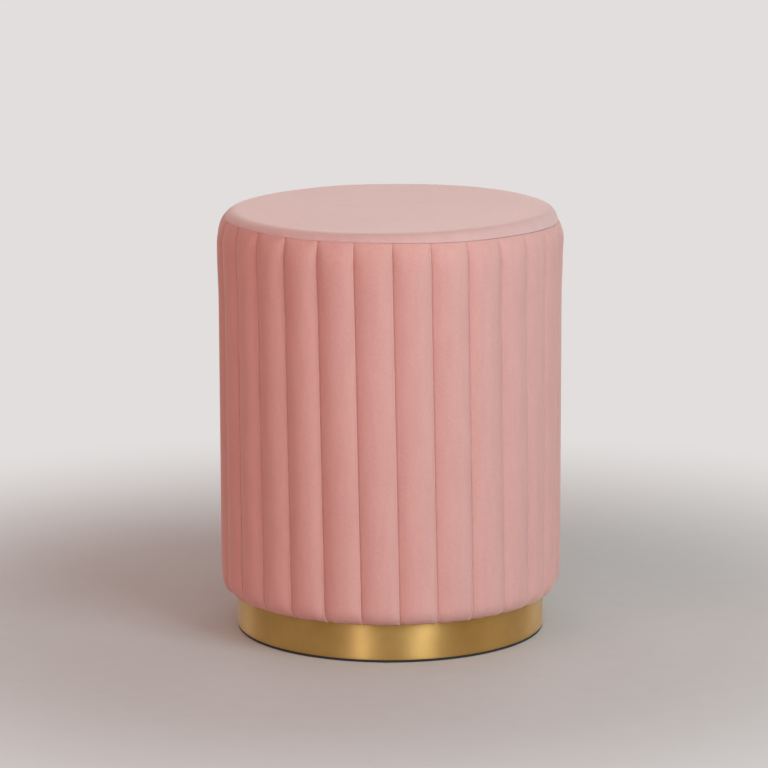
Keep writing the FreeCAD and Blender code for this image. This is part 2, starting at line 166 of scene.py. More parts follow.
# How finely the velvet is divided
ROW_STEP = 0.003
ROLL_ROWS = 15
BEND_SHARES = np.append(np.linspace(0, 1, 14)[:-1], (0.97, 0.99, 1))
EDGE_SHARES = np.append(np.linspace(0, 1, 18)[:-1], (0.985, 1))
PANEL_RING_STEP = 0.004
TOP_COLUMNS = 252
# a channel's columns, as shares of the way from a seam to the channel's middle
COLUMN_SHARES = (0.0, 0.018, 0.041, 0.071, 0.117, 0.189, 0.30, 0.47, 0.70, 1.0)


# Meshes through rows of points


def smooth_object(name, mesh):
    """An object of that mesh with every face shaded smooth."""
    mesh.polygons.foreach_set("use_smooth", [True] * len(mesh.polygons))
    made = bpy.data.objects.new(name, mesh)
    bpy.context.scene.collection.objects.link(made)
    return made


def skin(name, rows, closed=False, poles=()):
    """A mesh through rings of points, joined in order, and to the first again where closed.

    Where two poles are given, the first ring closes at the first of them and the last ring at the second.
    """
    count, width = rows.shape[:2]
    points = rows.reshape(-1, 3)
    index = np.arange(count * width).reshape(count, width)
    after = np.roll(index, -1, axis=1)
    last = count if closed else count - 1
    above = np.roll(index, -1, axis=0)
    above_after = np.roll(above, -1, axis=1)
    quads = np.stack([index, after, above_after, above], axis=-1)[:last].reshape(-1, 4)
    faces = quads.tolist()
    for pole, ring, turn in zip(poles, (0, count - 1), (-1, 1)):
        points = np.vstack([points, pole])
        tip = len(points) - 1
        for here, there in zip(index[ring], after[ring]):
            faces.append([int(here), int(there), tip][::turn])
    mesh = bpy.data.meshes.new(name)
    mesh.from_pydata(points.tolist(), [], faces)
    mesh.validate()
    return smooth_object(name, mesh)


def around(azimuth, radius, height):
    """Points at those azimuths, radii and heights."""
    height = np.broadcast_to(height, np.broadcast(azimuth, radius, height).shape)
    return np.stack([radius * np.sin(azimuth), -radius * np.cos(azimuth), height], axis=-1)


def ease(low, high, amount):
    """0 below low, 1 above high, and a smooth rise between them."""
    share = np.clip((amount - low) / (high - low), 0, 1)
    return share * share * (3 - 2 * share)


def ripple(azimuth, height, seed, turns, rises, count):
    """An uneven ripple of about unit size, the sum of that many waves."""
    dice = np.random.default_rng(seed)
    total = np.zeros(np.broadcast(azimuth, height).shape)
    for _ in range(count):
        turn = int(dice.integers(*turns))
        rise = dice.uniform(*rises)
        total += np.cos(turn * azimuth + rise * height + dice.uniform(0, 2 * math.pi))
    return total * math.sqrt(2 / count)


# Padding that fills its cover


def filled(rows, sewn, pressure, most, slack=0.0):
    """How far each point of that cover moves as its padding swells it, the sewn points staying.

    No point moves further than most.
    """
    cover = skin("cover_being_filled", rows)
    cover.vertex_groups.new(name="sewn").add(np.flatnonzero(sewn).tolist(), 1.0, "REPLACE")
    cloth = cover.modifiers.new("filling", "CLOTH")
    cloth.settings.vertex_group_mass = "sewn"
    cloth.settings.use_pressure = True
    cloth.settings.uniform_pressure_force = pressure
    cloth.settings.shrink_min = -slack
    cloth.settings.bending_stiffness = COVER_STIFFNESS
    cloth.settings.effector_weights.gravity = 0
    cloth.point_cache.frame_end = FILL_STEPS
    scene = bpy.context.scene
    for step in range(1, FILL_STEPS + 1):
        scene.frame_set(step)
    settled = cover.evaluated_get(bpy.context.evaluated_depsgraph_get())
    places = np.empty(rows.size)
    settled.data.vertices.foreach_get("co", places)
    moved = places.reshape(rows.shape) - rows
    scene.frame_set(1)
    bpy.data.meshes.remove(cover.data)
    return moved * min(1, most / np.linalg.norm(moved, axis=-1).max())


def between(samples, place, axis, turning=False):
    """Samples read at places between them along that axis, on a smooth curve through them."""
    samples = np.moveaxis(samples, axis, 0)
    count = len(samples)
    whole = np.floor(place).astype(int)
    share = (place - whole).reshape(-1, *[1] * (samples.ndim - 1))
    near = [whole + step for step in (-1, 0, 1, 2)]
    near = [index % count if turning else np.clip(index, 0, count - 1) for index in near]
    before, here, after, beyond = (samples[index] for index in near)
    bent = (2 * before - 5 * here + 4 * after - beyond) + share * (3 * (here - after) + beyond - before)
    read = here + 0.5 * share * (after - before + share * bent)
    return np.moveaxis(read, 0, axis)


# Velvet side


def side_rows():
    """The side's profile from the hem up: crest radius, height and share of the channels' depth."""
    roll = np.linspace(0, math.pi / 2, ROLL_ROWS)
    roll_top = HEM_HEIGHT + ROLL_HEIGHT
    shoulder_low = SIDE_TOP - SHOULDER_DROP
    swell_low = shoulder_low - SWELL_LENGTH
    radius = [DRUM_RADIUS - ROLL_DEPTH * (1 - np.sin(roll))]
    height = [roll_top - ROLL_HEIGHT * np.cos(roll)]
    share = [CHANNEL_HEM_SHARE + (1 - CHANNEL_HEM_SHARE) * np.sin(roll)]
    wall = np.arange(roll_top, shoulder_low, ROW_STEP)[1:]
    radius.append(DRUM_RADIUS + DRUM_SWELL * ease(swell_low, shoulder_low, wall))
    height.append(wall)
    share.append(np.ones(len(wall)))
    inset = DRUM_RADIUS + DRUM_SWELL - SEAM_RADIUS
    depth = inset / (1 - math.cos(SHOULDER_ANGLE))
    bend = BEND_SHARES * SHOULDER_ANGLE
    radius.append(DRUM_RADIUS + DRUM_SWELL - depth * (1 - np.cos(bend)))
    height.append(shoulder_low + SHOULDER_DROP * np.sin(bend) / math.sin(SHOULDER_ANGLE))
    share.append(1 - (1 - CHANNEL_TOP_SHARE) * BEND_SHARES ** 2)
    return np.concatenate(radius), np.concatenate(height), np.concatenate(share)


def side_columns():
    """Each column's azimuth before the twist, and its share of the way from a seam to a channel's middle."""
    half = math.pi / CHANNELS
    rise = np.array(COLUMN_SHARES)
    there_and_back = np.concatenate([rise, 2 - rise[-2:0:-1]])
    azimuth = FIRST_SEAM + half * (there_and_back[None, :] + 2 * np.arange(CHANNELS)[:, None])
    share = np.where(there_and_back > 1, 2 - there_and_back, there_and_back)
    return azimuth.ravel(), np.tile(share, CHANNELS)


def right_corner(azimuth):
    """1 at the stool's right, where the top's seam dips and stands out, and 0 away from there."""
    return np.exp((np.sin(azimuth) - 1) / SEAM_DIP_WIDTH)


def seam_shift(azimuth):
    """How far the top's seam stands above or below its mean height."""
    tilt = SEAM_TILT * np.sin(azimuth) + SEAM_DIP * right_corner(azimuth)
    return SEAM_WAVE * ripple(azimuth, 0.0, *SEAM_RIPPLE) - tilt


def channelled(rows, azimuth, off_seam):
    """The side's plain channels, as points and as the azimuth that each has after the seams' twist."""
    radius, height, share = (row[:, None] for row in rows)
    fullness = 1 + CHANNEL_FULLNESS * ripple(azimuth, height, *FULLNESS_RIPPLE)
    drawn_in = (1 - off_seam) ** CHANNEL_POWER
    slack = CHANNEL_SWELL
    radius = radius - share * fullness * (CHANNEL_DEPTH * drawn_in + slack * (1 - drawn_in))
    turned = azimuth + SEAM_TWIST * (SIDE_MIDDLE - height) / (SIDE_TOP - HEM_HEIGHT)
    return around(turned, radius, height), turned


def side_swelling(rows):
    """How far the padding swells the side's channels, at its rows and columns."""
    step = 2 * math.pi / CHANNELS / FILL_COLUMNS
    count = np.arange(CHANNELS * FILL_COLUMNS)
    off_seam = 1 - np.abs(2 * (count % FILL_COLUMNS) / FILL_COLUMNS - 1)
    coarse = [row[::FILL_ROW_STEP] for row in rows]
    cover, _ = channelled(coarse, FIRST_SEAM + step * count, off_seam)
    sewn = np.zeros(cover.shape[:2], dtype=bool)
    sewn[:, off_seam == 0] = True
    sewn[[0, -1]] = True
    moved = filled(cover, sewn, CHANNEL_PRESSURE, FILL_CAP, CHANNEL_SLACK)
    moved = between(moved, (side_columns()[0] - FIRST_SEAM) / step, 1, turning=True)
    return between(moved, np.arange(len(rows[0])) / FILL_ROW_STEP, 0)


def side_surface():
    """The velvet's outer face: rows of points from the hem to the top's seam."""
    rows = side_rows()
    columns = side_columns()
    face, turned = channelled(rows, *columns)
    face = face + side_swelling(rows)
    return face + fine_folds(rows, columns, turned)


def fine_folds(rows, columns, turned):
    """The moves that the creases, puckers and gathers make from the plain channels."""
    radius, height = rows[0][:, None], rows[1][:, None]
    azimuth, off_seam = (column[None, :] for column in columns)
    slope = np.stack([np.gradient(radius[:, 0]), np.gradient(height[:, 0])])
    slope /= np.linalg.norm(slope, axis=0)
    out, up = slope[1][:, None], -slope[0][:, None]
    from_seam = off_seam * math.pi / CHANNELS * DRUM_RADIUS
    near_hem = 1 - ease(HEM_HEIGHT, HEM_HEIGHT + GATHER_HEIGHT, height)
    sunk = CREASE_DEPTH * (1 - CREASE_HEM_LOSS * near_hem) * np.exp(-(from_seam / CREASE_WIDTH) ** 2)
    pucker = ripple(azimuth, height, *PUCKER_RIPPLE) * np.exp(-from_seam / PUCKER_FADE)
    sunk = sunk + PUCKER_DEPTH * pucker * (1 - np.exp(-from_seam / PUCKER_START))
    sunk = sunk + HEM_GATHER * near_hem * ripple(azimuth, height, *GATHER_RIPPLE)
    for pleat in HEM_PLEATS:
        away = (turned - math.radians(pleat)) / PLEAT_PITCH
        sunk = sunk + PLEAT_DEPTH * near_hem * np.sin(2 * math.pi * away) * np.exp(-away ** 2)
    near_top = ease(SEAM_HEIGHT - SEAM_SHIFT_REACH, SEAM_HEIGHT, height)
    push = ease(SEAM_HEIGHT - SEAM_PUSH_REACH, SEAM_HEIGHT, height) * SEAM_PUSH * right_corner(turned)
    return around(turned, push - out * sunk, near_top * seam_shift(turned) - up * sunk)


def velvet_side():
    """The side with its padding: the channelled face, the fold at the top seam and the turned-under hem."""
    face = side_surface()
    azimuth = np.arctan2(face[:, :, 0], -face[:, :, 1])
    top = azimuth[-1]
    shift = seam_shift(top)
    rim = SEAM_RADIUS + SEAM_PUSH * right_corner(top)
    bottom = azimuth[0]
    inner = WALL_RADIUS + SOFT_GAP
    hem = CLOTH_HIGH.x + SOFT_GAP
    turned_under = HEM_HEIGHT + FACE_GAP
    hem_inside = HEM_HEIGHT + COVER_THICKNESS - FACE_GAP
    fold = [
        around(top, rim - SEAM_FOLD, SIDE_TOP + 0.8 * SEAM_FOLD + shift),
        around(top, rim - 3 * SEAM_FOLD, SIDE_TOP + 0.6 * SEAM_FOLD + shift),
        around(top, inner + SIDE_LEDGE, SIDE_TOP - 2 * SEAM_FOLD + LEDGE_SHIFT * shift),
        around(top, inner, SIDE_TOP - 4 * SEAM_FOLD),
        around(bottom, inner, hem_inside),
        around(bottom, hem, hem_inside),
        around(bottom, hem, turned_under),
        around(bottom, (hem + DRUM_RADIUS - ROLL_DEPTH) / 2, turned_under),
    ]
    side = skin("velvet_side", np.concatenate([face, np.stack(fold)]), closed=True)
    return side, face


# Velvet top


def top_swelling(radii):
    """How far the padding crowns the flat top at those radii, column by column."""
    flat = PANEL_FLAT_RADIUS
    coarse = np.append(radii[3::2], flat)
    azimuth = np.linspace(0, 2 * math.pi, TOP_COLUMNS, endpoint=False)[None, ::TOP_FILL_STEP]
    cover = around(azimuth, coarse[:, None], STOOL_TOP - PANEL_CROWN)
    sewn = np.zeros(cover.shape[:2], dtype=bool)
    sewn[-1] = True
    risen = filled(cover[::-1], sewn[::-1], TOP_PRESSURE, PANEL_CROWN)[::-1, :, 2]
    risen = between(risen, np.arange(TOP_COLUMNS) / TOP_FILL_STEP, 1, turning=True)
    risen = between(risen, np.interp(radii, coarse, np.arange(len(coarse))), 0)
    centred = ease(0.0, coarse[2], radii)[:, None]
    return centred * risen + (1 - centred) * risen[:4].mean()


def velvet_top():
    """The top with its padding: the crowned panel, its round edge, the seam fold and the foam body inside."""
    azimuth = np.linspace(0, 2 * math.pi, TOP_COLUMNS, endpoint=False)
    edge = STOOL_TOP - PANEL_CROWN
    flat, rim = PANEL_FLAT_RADIUS, SEAM_RADIUS - 1.5 * SEAM_FOLD
    inner = WALL_RADIUS
    radii = np.arange(PANEL_RING_STEP, flat, PANEL_RING_STEP)
    swelling = top_swelling(radii)
    corner = right_corner(azimuth)
    rows = []

    def ring(radius, height, hold=1.0):
        """Adds a ring, which follows the seam's shift as far as hold says, and its push where hold is 1."""
        outward = radius / SEAM_RADIUS
        rise = PANEL_WAVE * ripple(azimuth, radius, *PANEL_RIPPLE) * min(1, radius / PANEL_CALM_RADIUS)
        lean_share = outward ** LEAN_START_POWER - outward ** LEAN_END_POWER
        lean = PANEL_LEAN * (1 + np.sin(azimuth)) ** 2 / 2 * lean_share
        shift = lean + rise + (seam_shift(azimuth) - rise) * outward ** PANEL_SHIFT_POWER
        push = SEAM_PUSH * corner * min(1, outward) ** PANEL_PUSH_POWER if hold == 1 else 0
        rows.append(around(azimuth, radius + push, height + shift * hold))

    for radius, swell in zip(radii, swelling):
        ring(radius, edge + swell)
    power = PANEL_EDGE_POWER + PANEL_EDGE_GAIN * (1 + np.sin(azimuth)) + PANEL_CORNER_GAIN * corner
    for share in EDGE_SHARES:
        ring(flat + (rim - flat) * share, edge - (edge - SEAM_HEIGHT) * share ** power)
    ring(rim - SEAM_FOLD, SEAM_HEIGHT - 0.2 * SEAM_FOLD)
    ring(rim - 3 * SEAM_FOLD, SEAM_HEIGHT - 0.4 * SEAM_FOLD)
    ring(inner + TOP_LEDGE, SEAM_HEIGHT - SEAM_FOLD, LEDGE_SHIFT)
    ring(inner, SEAM_HEIGHT - 3 * SEAM_FOLD, 0)
    ring(inner, FOAM_LOW, 0)
    ring(inner / 2, FOAM_LOW, 0)
    return skin("velvet_top", np.stack(rows), poles=((0, 0, STOOL_TOP), (0, 0, FOAM_LOW)))


# Thread


def stitch_form():
    """One stitch along +X, its ends dipping under the cloth: points and faces."""
    stations = np.array([-0.42, -0.15, 0.15, 0.42]) * STITCH_LENGTH
    thick = np.array([0.75, 1.0, 1.0, 0.75]) * STITCH_RADIUS
    sink = np.array([1.0, 0.0, 0.0, 1.0]) * STITCH_RADIUS
    sides = 5
    turn = 2 * math.pi * np.arange(sides) / sides
    rings = [np.stack([np.full(sides, x), r * np.cos(turn), r * np.sin(turn) - s], axis=-1)
             for x, r, s in zip(stations, thick, sink)]
    tips = np.array([[end * STITCH_LENGTH, 0, -2 * STITCH_RADIUS] for end in (-0.5, 0.5)])
    points = np.concatenate(rings + [tips])
    faces = []
    for ring in range(len(stations) - 1):
        for side in range(sides):
            here, after = ring * sides + side, ring * sides + (side + 1) % sides
            faces.append([here, after, after + sides, here + sides])
    tip = len(stations) * sides
    last = tip - sides
    for side in range(sides):
        after = (side + 1) % sides
        faces.append([after, side, tip])
        faces.append([last + side, last + after, tip + 1])
    return points, faces


def channel_stitches(face):
    """The thread that shows on one side of every seam between two channels."""
    per_channel = 2 * (len(COLUMN_SHARES) - 1)
    form, form_faces = stitch_form()
    points, faces = [], []
    for seam in face[:, per_channel - STITCH_COLUMNS::per_channel].transpose(1, 0, 2):
        run = np.concatenate([[0], np.cumsum(np.linalg.norm(np.diff(seam, axis=0), axis=1))])
        for along in np.arange(STITCH_PITCH, run[-1] - STITCH_PITCH / 2, STITCH_PITCH):
            ends = [np.array([np.interp(along + step, run, seam[:, axis]) for axis in range(3)])
                    for step in (-STITCH_LENGTH / 2, STITCH_LENGTH / 2)]
            ahead = ends[1] - ends[0]
            ahead /= np.linalg.norm(ahead)
            centre = (ends[0] + ends[1]) / 2
            across = np.cross([centre[0], centre[1], 0], ahead)
            across /= np.linalg.norm(across)
            away = np.cross(ahead, across)
            out_and_up = [centre[0], centre[1], 0.05]
            away *= np.sign(away @ out_and_up)
            turned = form @ np.stack([ahead, np.cross(away, ahead), away])
            laid = turned + centre + away * STITCH_LIFT * STITCH_RADIUS
            base = len(points) * len(form)
            points.append(laid)
            faces += [[corner + base for corner in corners] for corners in form_faces]
    mesh = bpy.data.meshes.new("channel_stitches")
    mesh.from_pydata(np.concatenate(points).tolist(), [], faces)
    return smooth_object("channel_stitches", mesh)


# Brass band


def brass_band():
    """The sheet round the plinth, its edges just eased, its ends meeting at the back."""
    outer, low, high = BAND_HIGH.x, BAND_LOW.z, BAND_HIGH.z
    inner, bevel = outer - BAND_THICKNESS, BAND_BEVEL
    corner = np.linspace(0, math.pi / 2, 4)
    profile = [(outer - bevel + bevel * math.sin(a), low + bevel - bevel * math.cos(a)) for a in corner]
    profile += [(outer, low + (high - low) * share) for share in (0.1, 0.3, 0.5, 0.7, 0.9)]
    profile += [(outer - bevel + bevel * math.cos(a), high - bevel + bevel * math.sin(a)) for a in corner]
    profile += [(inner, high), (inner, low)]
    reach = math.pi - BAND_JOINT / 2 / outer
    azimuth = np.linspace(-reach, reach, 721)
    points = np.concatenate([around(azimuth, radius, height)[None] for radius, height in profile])
    count, width = points.shape[:2]
    index = np.arange(count * width).reshape(count, width)
    above = np.roll(index, -1, axis=0)
    quads = np.stack([index[:, :-1], index[:, 1:], above[:, 1:], above[:, :-1]], axis=-1).reshape(-1, 4)
    faces = quads.tolist() + [index[::-1, 0].tolist(), index[:, -1].tolist()]
    mesh = bpy.data.meshes.new("brass_band")
    mesh.from_pydata(points.reshape(-1, 3).tolist(), [], faces)
    band = smooth_object("brass_band", mesh)
    mesh.polygons.foreach_set("use_smooth", [True] * len(quads) + [False, False])
    return band


# Cloth under the drum


def underside_cloth():
    """The black cloth disc under the drum, which sags a little where no board presses on it."""
    azimuth = np.linspace(0, 2 * math.pi, 96, endpoint=False)
    radius = CLOTH_HIGH.x
    thickness = CLOTH_HIGH.z - CLOTH_LOW.z
    rows = []
    for side in (0, 1):
        rings = []
        for share in (0.08, 0.16, 0.24, 0.32, 0.40, 0.48, 0.56, 0.64, 0.8, 1.0):
            free = 1 - ease(CLOTH_FREE_SHARE, CLOTH_HELD_SHARE, share)
            droop = free * (CLOTH_DROOP + CLOTH_DROOP_WAVE * ripple(azimuth, share, *DROOP_RIPPLE))
            rings.append(around(azimuth, share * radius, CLOTH_LOW.z + side * thickness - droop))
        rows.append(rings)
    loop = np.stack(rows[0] + rows[1][::-1])
    middle = CLOTH_LOW.z - CLOTH_DROOP
    return skin("underside_cloth", loop, poles=((0, 0, middle), (0, 0, middle + thickness)))


def hem_strip():
    """The strip sewn to the velvet's turned-under edge, gathered into a ring."""
    azimuth = np.linspace(0, 2 * math.pi, 2 * STRIP_GATHERS, endpoint=False)
    inner, outer = STRIP_HIGH.x - STRIP_WIDTH, STRIP_HIGH.x
    middle = (STRIP_LOW.z + STRIP_HIGH.z) / 2
    half = (STRIP_HIGH.z - STRIP_LOW.z) / 2
    gather = 0.4 * half * np.cos(STRIP_GATHERS * azimuth)
    loop = [around(azimuth, inner, middle + gather - 0.6 * half), around(azimuth, outer, middle - half),
            around(azimuth, outer, middle + half), around(azimuth, inner, middle + gather + 0.6 * half)]
    return skin("hem_strip", np.stack(loop), closed=True)


# Materials


class Finish:
    """A material with one Principled shader and what feeds it."""

    def __init__(self, name, **fixed):
        self.material = bpy.data.materials.new(name)
        self.material.use_nodes = True
        self.tree = self.material.node_tree
        self.shader = self.tree.nodes["Principled BSDF"]
        self.place = self.add("ShaderNodeTexCoord").outputs["Object"]
        for socket, amount in fixed.items():
            self.shader.inputs[socket.replace("_", " ")].default_value = amount

    def add(self, kind, feeds=None, **settings):
        """A node with its settings, each of its named or numbered inputs fed by an output or a value."""
        node = self.tree.nodes.new(kind)
        for field, setting in settings.items():
            setattr(node, field, setting)
        for socket, source in (feeds or {}).items():
            if isinstance(source, bpy.types.NodeSocket):
                self.tree.links.new(source, node.inputs[socket])
            else:
                node.inputs[socket].default_value = source
        return node

    def noise(self, scale, detail=2.0, roughness=0.5, place=None):
        """A noise between 0 and 1."""
        feeds = {"Vector": place or self.place, "Scale": scale, "Detail": detail, "Roughness": roughness}
        return self.add("ShaderNodeTexNoise", feeds).outputs["Fac"]

    def stretched(self, *scales):
        """The place with each axis scaled."""
        feeds = {"Vector": self.place, "Scale": scales}
        return self.add("ShaderNodeMapping", feeds).outputs["Vector"]

    def spread(self, source, low, high, start=0.3, end=0.7):
        """A value run from low to high as the source runs from start to end."""
        feeds = {"Value": source, "From Min": start, "From Max": end, "To Min": low, "To Max": high}
        return self.add("ShaderNodeMapRange", feeds).outputs["Result"]

    def calc(self, first, second, operation="ADD"):
        """Two values put together by that operation, or the first alone where it takes only one."""
        return self.add("ShaderNodeMath", {0: first, 1: second}, operation=operation).outputs["Value"]

    def blend(self, share, first, second):
        """A colour between two colours."""
        return self.add("ShaderNodeMix", {0: share, 6: first, 7: second}, data_type="RGBA").outputs[2]

    def feed(self, **sources):
        """Feeds the shader's sockets."""
        for socket, source in sources.items():
            self.tree.links.new(source, self.shader.inputs[socket.replace("_", " ")])

    def bump(self, height, distance):
        """Feeds the shader's normal from a height whose unit is that distance in metres."""
        feeds = {"Height": height, "Distance": distance, "Strength": 1.0}
        self.feed(Normal=self.add("ShaderNodeBump", feeds).outputs["Normal"])


def paint(red, green, blue):
    """A colour given as it looks on a screen, from 0 to 255, as the shader wants it."""
    share = [level / 255 for level in (red, green, blue)]
    return tuple(s / 12.92 if s <= 0.04045 else ((s + 0.055) / 1.055) ** 2.4 for s in share) + (1.0,)


def seam_puckers(finish):
    """Small puckers between the stitches of the channels' seams, from -1 to 1, and 0 away from them."""
    turn, height = around_place(finish)
    twist = finish.spread(height, SEAM_TWIST / 2, -SEAM_TWIST / 2, HEM_HEIGHT, SIDE_TOP)
    azimuth = finish.calc(finish.calc(turn, twist, "SUBTRACT"), FIRST_SEAM, "SUBTRACT")
    share = finish.calc(finish.calc(azimuth, CHANNELS / 2 / math.pi, "MULTIPLY"), 1.0, "FRACT")
    off_middle = finish.calc(finish.calc(share, 0.5, "SUBTRACT"), 0.0, "ABSOLUTE")
    half_pitch = math.pi * DRUM_RADIUS / CHANNELS
    near = finish.spread(off_middle, 0, 1, 0.5 - 0.5 * STITCH_PUCKER_REACH / half_pitch, 0.5)
    wave = finish.calc(finish.calc(height, 2 * math.pi / STITCH_PITCH, "MULTIPLY"), 0.0, "SINE")
    return finish.calc(near, wave, "MULTIPLY")


def velvet(name, dark, pale, sheen, bloom, bloom_spread=0.35, with_seams=False):
    """Short cut pile: soft patches where it leans, a fine nap, and a pale bloom at a low angle."""
    finish = Finish(name, Roughness=0.7, Sheen_Weight=sheen, Sheen_Roughness=bloom_spread, Sheen_Tint=bloom,
                    Specular_IOR_Level=0.05)
    patches = finish.noise(16, 3)
    brushed = finish.noise(1, 3, 0.6, finish.stretched(90, 90, 18))
    nap = finish.noise(420, 4, 0.7)
    tone = finish.calc(finish.spread(patches, 0, 0.15), finish.spread(brushed, 0, 0.35))
    tone = finish.calc(tone, finish.spread(nap, 0, 0.5))
    finish.feed(Base_Color=finish.blend(tone, dark, pale))
    pile = finish.noise(1500, 3, 0.8)
    relief = finish.calc(finish.calc(pile, 0.4, "MULTIPLY"), nap)
    if with_seams:
        relief = finish.calc(relief, seam_puckers(finish))
    finish.bump(relief, 0.00022)
    return finish.material


def thread():
    """Pale pink twisted thread."""
    finish = Finish("pale_thread", Roughness=0.6, Specular_IOR_Level=0.2)
    strands = finish.noise(2500, 2)
    finish.feed(Base_Color=finish.blend(strands, paint(236, 190, 180), paint(246, 208, 198)))
    finish.bump(strands, 0.0001)
    return finish.material


def around_place(finish):
    """The place's azimuth round the stool, and its height."""
    parts = finish.add("ShaderNodeSeparateXYZ", {"Vector": finish.place}).outputs
    back = finish.calc(parts["Y"], -1.0, "MULTIPLY")
    turn = finish.calc(parts["X"], back, "ARCTAN2")
    return turn, parts["Z"]


def brushed_brass():
    """Brass sheet brushed along its length, with faint lacquer mottling."""
    finish = Finish("brushed_brass", Metallic=1.0, Anisotropic=0.9, Anisotropic_Rotation=0.25)
    turn, height = around_place(finish)
    line_place = finish.add("ShaderNodeCombineXYZ", {"X": turn, "Y": finish.calc(height, 2600, "MULTIPLY")})
    lines = finish.noise(1.6, 3, 0.6, line_place.outputs["Vector"])
    mottle = finish.noise(22, 3)
    tone = finish.spread(mottle, 0, 1)
    finish.feed(Base_Color=finish.blend(tone, paint(183, 142, 80), paint(197, 158, 93)))
    finish.feed(Roughness=finish.spread(lines, 0.36, 0.46))
    finish.feed(Tangent=finish.add("ShaderNodeTangent", direction_type="RADIAL", axis="Z").outputs["Tangent"])
    finish.bump(lines, 0.00002)
    return finish.material


def black_rubber():
    """Dull black rubber with a fine grain."""
    finish = Finish("black_rubber", Specular_IOR_Level=0.35)
    grain = finish.noise(1800, 3)
    finish.feed(Base_Color=finish.blend(finish.noise(60), paint(26, 25, 25), paint(42, 40, 39)))
    finish.feed(Roughness=finish.spread(grain, 0.55, 0.75))
    finish.bump(grain, 0.00008)
    return finish.material


def black_cloth():
    """Black spun cloth, its pressed points in a small grid."""
    finish = Finish("black_spun_cloth", Roughness=0.9, Sheen_Weight=0.2)
    fibres = finish.noise(1, 4, 0.7, finish.stretched(900, 300, 900))
    dots = finish.add("ShaderNodeTexVoronoi", {"Vector": finish.place, "Scale": 550.0}).outputs["Distance"]
    finish.feed(Base_Color=finish.blend(fibres, paint(22, 22, 23), paint(46, 45, 46)))
    finish.bump(finish.calc(fibres, dots), 0.0001)
    return finish.material


def wood(name, pale, dark, ply=0.0):
    """Sawn wood with its grain along X, and glue lines every ply of height where ply is given."""
    finish = Finish(name, Specular_IOR_Level=0.3)
    grain = finish.noise(1, 5, 0.65, finish.stretched(9, 140, 60))
    pores = finish.noise(1, 3, 0.6, finish.stretched(60, 1400, 900))
    tone = finish.calc(finish.spread(grain, 0, 0.8), finish.spread(pores, 0, 0.2))
    if ply:
        height = finish.add("ShaderNodeSeparateXYZ", {"Vector": finish.place}).outputs["Z"]
        layer = finish.calc(finish.calc(height, ply, "DIVIDE"), 1.0, "FRACT")
        line = finish.spread(finish.calc(layer, 0.5, "SUBTRACT"), 0, 0.35, 0.38, 0.5)
        tone = finish.calc(tone, line)
    finish.feed(Base_Color=finish.blend(tone, pale, dark))
    finish.feed(Roughness=finish.spread(pores, 0.6, 0.8))
    finish.bump(pores, 0.0001)
    return finish.material


def plated_steel():
    """Bright plated steel, a little uneven."""
    finish = Finish("plated_steel", Metallic=1.0)
    haze = finish.noise(700, 3)
    finish.feed(Base_Color=finish.blend(haze, paint(196, 196, 200), paint(222, 221, 222)))
    finish.feed(Roughness=finish.spread(haze, 0.22, 0.4))
    return finish.material


# Studio

BACKDROP = paint(226, 222, 221)
ROOM_COLOUR = (1.0, 0.80, 0.70, 1.0)
ROOM_STRENGTH = 0.3
FLOOR_RADIUS = 30
FLOOR_GAP = 0.0002
FLOOR_FADE_START = 0.34
FLOOR_FADE_END = 0.95
LAMP_TARGET = Vector((0, 0, 0.22))
WHITE = (1.0, 1.0, 1.0)


def seen_directly(tree):
    """1 for the rays that the camera and mirrored gloss send out, and 0 for those that only light things."""
    path = tree.nodes.new("ShaderNodeLightPath")
    either = tree.nodes.new("ShaderNodeMath")
    either.operation = "MAXIMUM"
    tree.links.new(path.outputs["Is Camera Ray"], either.inputs[0])
    tree.links.new(path.outputs["Is Glossy Ray"], either.inputs[1])
    return either.outputs[0]


def floor():
    """A plain pale floor that runs into the pale background."""
    bpy.ops.mesh.primitive_circle_add(vertices=96, radius=FLOOR_RADIUS, fill_type="NGON")
    made = bpy.context.object
    made.name = "floor"
    made.location.z = -FLOOR_GAP
    finish = Finish("pale_floor", Roughness=0.7, Specular_IOR_Level=0.3)
    finish.feed(Base_Color=finish.blend(finish.noise(40, 4), paint(186, 183, 182), paint(192, 189, 188)))
    away = finish.add("ShaderNodeVectorMath", {0: finish.place}, operation="LENGTH").outputs["Value"]
    fade = {"Value": away, "From Min": FLOOR_FADE_START, "From Max": FLOOR_FADE_END}
    far = finish.add("ShaderNodeMapRange", fade, interpolation_type="SMOOTHSTEP").outputs["Result"]
    backdrop = finish.add("ShaderNodeEmission", {"Color": BACKDROP}).outputs["Emission"]
    share = finish.calc(far, seen_directly(finish.tree), "MULTIPLY")
    mix = finish.add("ShaderNodeMixShader", {0: share, 1: finish.shader.outputs["BSDF"], 2: backdrop})
    finish.tree.links.new(mix.outputs["Shader"], finish.tree.nodes["Material Output"].inputs["Surface"])
    made.data.materials.append(finish.material)


def lamp(name, azimuth, elevation, power, colour=WHITE, on="all", distance=3.0, width=1.6, height=1.6):
    """A soft rectangular lamp that faces the stool from that azimuth and elevation, in degrees.

    On "dull" it lights surfaces but shows in no gloss, and on "shine" it only shows in gloss.
    """
    light = bpy.data.lights.new(name, "AREA")
    light.shape = "RECTANGLE"
    light.size, light.size_y, light.energy, light.color = width, height, power, colour
    made = bpy.data.objects.new(name, light)
    bpy.context.scene.collection.objects.link(made)
    made.visible_diffuse = on != "shine"
    made.visible_glossy = on != "dull"
    turn, lift = math.radians(azimuth), math.radians(elevation)
    away = Vector((math.sin(turn) * math.cos(lift), -math.cos(turn) * math.cos(lift), math.sin(lift)))
    made.location = LAMP_TARGET + away * distance
    made.rotation_mode = "QUATERNION"
    made.rotation_quaternion = away.to_track_quat("Z", "Y")


